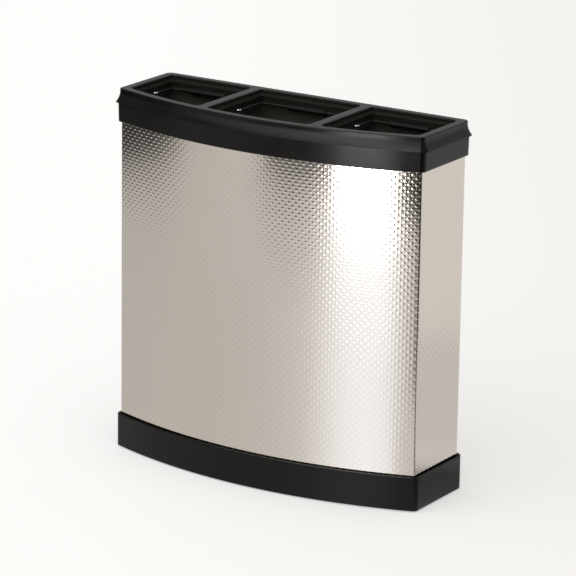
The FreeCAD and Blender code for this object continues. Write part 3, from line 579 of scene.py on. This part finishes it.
def reflectedPaper(tree, x, y):
    # the four bearing ramps, one after the other with distance from the pool, and plain paper behind
    across = doMath(tree, "SUBTRACT", x, studio["focus"][0])
    ahead = doMath(tree, "SUBTRACT", studio["focus"][1], y)
    bearing = bearingTo(tree, across, ahead)
    reach = distanceTo(tree, (x, y), studio["pool"])
    spans = (studio[key] for key in ("toEdge", "toBack", "toFlags"))
    toEdge, toBack, toFlags = (easedShare(tree, reach, span) for span in spans)
    seen = bearingRamp(tree, bearing, nearPaper, studio["cooling"])
    seen = mixColors(tree, toEdge, seen, bearingRamp(tree, bearing, edgePaper, studio["cooling"]))
    seen = mixColors(tree, toBack, seen, bearingRamp(tree, bearing, backPaper))
    seen = mixColors(tree, toFlags, seen, bearingRamp(tree, bearing, farFlags))
    nearTone, farTone = ((light / brightest,) * 3 + (1,) for light in studio["plainLight"])
    plain = mixColors(tree, toBack, nearTone, farTone)
    return mixColors(tree, remap(tree, y, *studio["toPlain"], 0.0, 1.0), seen, plain)


def floorMaterial():
    # matt white paper, darker by its distance along the shade's way; mirror reflections see the
    # ramps above instead of it
    material = newMaterial("studioPaper")
    tree = material.node_tree
    x, y = splitAxes(tree, objectPlace(tree))[:2]
    steps = [doMath(tree, "MULTIPLY", length, share) for length, share in zip((x, y), studio["shadeWay"])]
    shade = remap(tree, doMath(tree, "ADD", *steps), *studio["shadeSpan"], 0.0, 1.0)
    color = mixColors(tree, shade, studio["paperColor"], studio["shadeColor"])
    matt = addNode(tree, "ShaderNodeBsdfDiffuse", {"Color": color})
    glow = addNode(tree, "ShaderNodeEmission", {"Color": color, "Strength": studio["paperGlow"]})
    paper = addNode(tree, "ShaderNodeAddShader", {0: matt.outputs[0], 1: glow.outputs[0]})
    seen = reflectedPaper(tree, x, y)
    mirrored = addNode(tree, "ShaderNodeEmission", {"Color": seen, "Strength": brightest})
    choice = {0: mirrorRay(tree), 1: paper.outputs[0], 2: mirrored.outputs[0]}
    mixed = addNode(tree, "ShaderNodeMixShader", choice)
    addNode(tree, "ShaderNodeOutputMaterial", {"Surface": mixed.outputs[0]})
    return material


def makeFloor():
    # one square at the height of the feet
    half = studio["floorSize"] / 2
    mesh = bpy.data.meshes.new("studioFloor")
    corners = [(-half, -half, 0), (half, -half, 0), (half, half, 0), (-half, half, 0)]
    mesh.from_pydata(corners, [], [(0, 1, 2, 3)])
    mesh.materials.append(floorMaterial())
    floor = bpy.data.objects.new("studioFloor", mesh)
    bpy.context.scene.collection.objects.link(floor)


def makeSky():
    # even soft light from all round; mirror reflections see panels in it, by bearing
    world = bpy.data.worlds.new("studioLight")
    bpy.context.scene.world = world
    world.use_nodes = True
    tree = world.node_tree
    tree.nodes.clear()
    x, y = splitAxes(tree, addNode(tree, "ShaderNodeTexCoord").outputs["Generated"])[:2]
    bearing = bearingTo(tree, x, doMath(tree, "MULTIPLY", y, -1.0))
    panelColor = bearingRamp(tree, bearing, skyPanels)
    panels = addNode(tree, "ShaderNodeBackground", {"Color": panelColor, "Strength": brightest})
    evenLight = {"Color": studio["skyColor"], "Strength": studio["skyLight"]}
    even = addNode(tree, "ShaderNodeBackground", evenLight)
    choice = {0: mirrorRay(tree), 1: even.outputs[0], 2: panels.outputs[0]}
    mixed = addNode(tree, "ShaderNodeMixShader", choice)
    addNode(tree, "ShaderNodeOutputWorld", {"Surface": mixed.outputs[0]})


def directionTo(azimuth, elevation):
    # unit step from the bin: azimuth counted from the front towards +X, elevation from the floor
    level = math.cos(elevation)
    return Vector((math.sin(azimuth) * level, -math.cos(azimuth) * level, math.sin(elevation)))


lamp = {                          # one very large soft lamp; angles in degrees
    "azimuth": 5,
    "elevation": 64,
    "spread": 80,
    "strength": 1.04,
    "color": (1.0, 0.99, 0.975),
}


def makeLamp():
    # light from one direction, spread wide, that mirror reflections don't see
    light = bpy.data.lights.new("softLamp", "SUN")
    light.energy = lamp["strength"]
    light.angle = math.radians(lamp["spread"])
    light.color = lamp["color"]
    holder = bpy.data.objects.new("softLamp", light)
    toLamp = directionTo(math.radians(lamp["azimuth"]), math.radians(lamp["elevation"]))
    holder.rotation_euler = toLamp.to_track_quat("Z", "Y").to_euler()
    holder.visible_glossy = False
    bpy.context.scene.collection.objects.link(holder)


view = {                          # angles in degrees, lens and sensor in millimetres
    "azimuth": 32.50,
    "elevation": 16.24,
    "roll": 0.839,
    "distance": 5.736,
    "lens": 226.46,
    "sensor": 36.0,
    "aimOffset": (0.0082, 0.0083, 0.0047),    # from the middle of the bin
}


def makeCamera():
    # the camera looks at a point near the bin's middle from the given azimuth, elevation and roll
    azimuth, elevation, roll = (math.radians(view[key]) for key in ("azimuth", "elevation", "roll"))
    away = directionTo(azimuth, elevation)
    right = (-away).cross(Vector((0, 0, 1))).normalized()
    up = right.cross(-away)
    side = math.cos(roll) * right + math.sin(roll) * up
    top = math.cos(roll) * up - math.sin(roll) * right
    aim = (cadLow + cadHigh) / 2 + Vector(view["aimOffset"])
    camera = bpy.data.cameras.new("studioCamera")
    camera.lens = view["lens"]
    camera.sensor_width = view["sensor"]
    holder = bpy.data.objects.new("studioCamera", camera)
    turn = Matrix((side, top, away)).transposed().to_4x4()
    holder.matrix_world = Matrix.Translation(aim + away * view["distance"]) @ turn
    bpy.context.scene.collection.objects.link(holder)
    bpy.context.scene.camera = holder


makeFloor()
makeSky()
makeLamp()
makeCamera()
bpy.context.scene.view_settings.view_transform = "Standard"
print("studio made")
